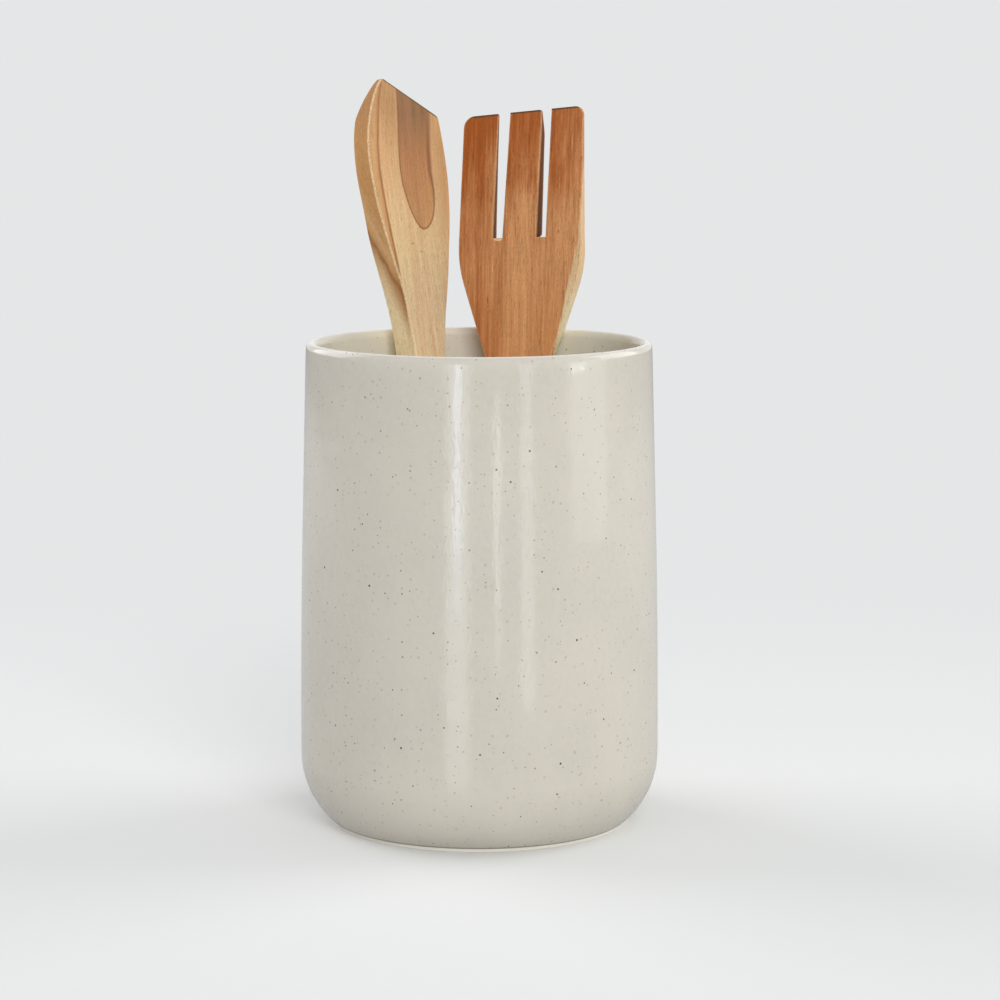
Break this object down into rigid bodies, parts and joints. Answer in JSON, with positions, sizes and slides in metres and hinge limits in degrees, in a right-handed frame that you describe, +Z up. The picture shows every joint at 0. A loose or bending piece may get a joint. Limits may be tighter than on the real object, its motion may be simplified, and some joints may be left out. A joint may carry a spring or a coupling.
{
  "type": "utensil crock",
  "caption": "Tall glazed stoneware crock with a rounded foot and lip, holding a slanted wooden spatula and a slotted wooden fork that lift out.",
  "frame": {"origin": "on the crock's axis, at the surface that its foot ring stands on", "axes": "+Z up along the crock's axis, -Y towards the viewer, +X to the viewer's right; both tools lean back towards +Y"},
  "size_m": [0.1412, 0.1412, 0.2912],
  "materials": {
    "glazed_stoneware": "glossy off-white glaze with sparse brown iron specks, bare pale clay on the foot ring",
    "pale_wood": "sanded and oiled acacia-like wood, pale sapwood with a brown heartwood tongue",
    "red_wood": "sanded and oiled red-brown hardwood with fine straight grain and a pale sapwood edge"
  },
  "bodies": {
    "crock": {"crock_body": "glazed_stoneware"},
    "spatula": {"spatula": "pale_wood"},
    "fork": {"fork": "red_wood"}
  },
  "joints": [
    {"name": "spatula_lift", "type": "slide", "parent": "crock", "child": "spatula", "axis": [-0.0902, 0.0569, 0.9943], "range_m": [0, 0.19]},
    {"name": "fork_lift", "type": "slide", "parent": "crock", "child": "fork", "axis": [0.0183, 0.0829, 0.9964], "range_m": [0, 0.19]}
  ]
}
